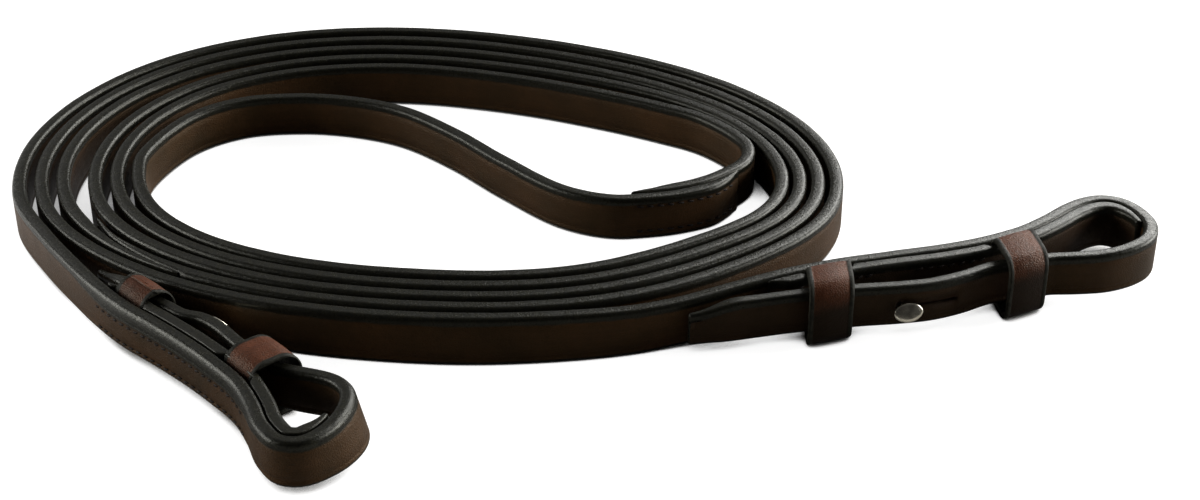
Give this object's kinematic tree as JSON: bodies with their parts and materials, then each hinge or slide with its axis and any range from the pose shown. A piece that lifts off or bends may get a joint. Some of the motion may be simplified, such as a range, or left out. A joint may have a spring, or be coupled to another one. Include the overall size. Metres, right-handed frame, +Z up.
{
  "type": "leather reins",
  "caption": "Flat leather riding reins lying on edge in an oval double coil, with a hook stud billet and bit loop at each end.",
  "frame": {"origin": "middle of the coil's outline, on the surface that the reins lie on", "axes": "+Z up, along the width of the straps; +X along the coil's long way, towards the right rein's bit loop; +Y away from the left rein's bit loop, towards the back of the coil"},
  "size_m": [0.3244, 0.243, 0.0186],
  "materials": {
    "rein_leather": "waxed dark brown bridle leather with dyed, bevelled edges",
    "billet_leather": "waxed dark brown bridle leather, lightly worn",
    "keeper_leather": "reddish brown bridle leather with dark dyed rims",
    "thread": "waxed brown linen thread",
    "stud_metal": "polished nickel plate"
  },
  "bodies": {
    "reins": {"right_rein": "rein_leather", "left_rein_inner_length": "rein_leather", "left_rein_outer_length": "rein_leather", "right_liner": "billet_leather", "right_tip_keeper": "keeper_leather", "right_loop_keeper": "keeper_leather", "right_hook_stud": "stud_metal", "right_lower_stitch_row": "thread", "right_upper_stitch_row": "thread", "left_liner": "billet_leather", "left_tip_keeper": "keeper_leather", "left_loop_keeper": "keeper_leather", "left_hook_stud": "stud_metal", "left_lower_stitch_row": "thread", "left_upper_stitch_row": "thread", "lap_lower_stitch_row": "thread", "lap_upper_stitch_row": "thread"},
    "right_tongue": {"right_tongue": "billet_leather"},
    "left_tongue": {"left_tongue": "billet_leather"}
  },
  "joints": [
    {"name": "right_tongue_slide", "type": "slide", "parent": "reins", "child": "right_tongue", "axis": [-0.9613, -0.2756, 0], "range_m": [0, 0.008]},
    {"name": "left_tongue_slide", "type": "slide", "parent": "reins", "child": "left_tongue", "axis": [-0.7547, 0.6561, 0], "range_m": [0, 0.008]}
  ]
}
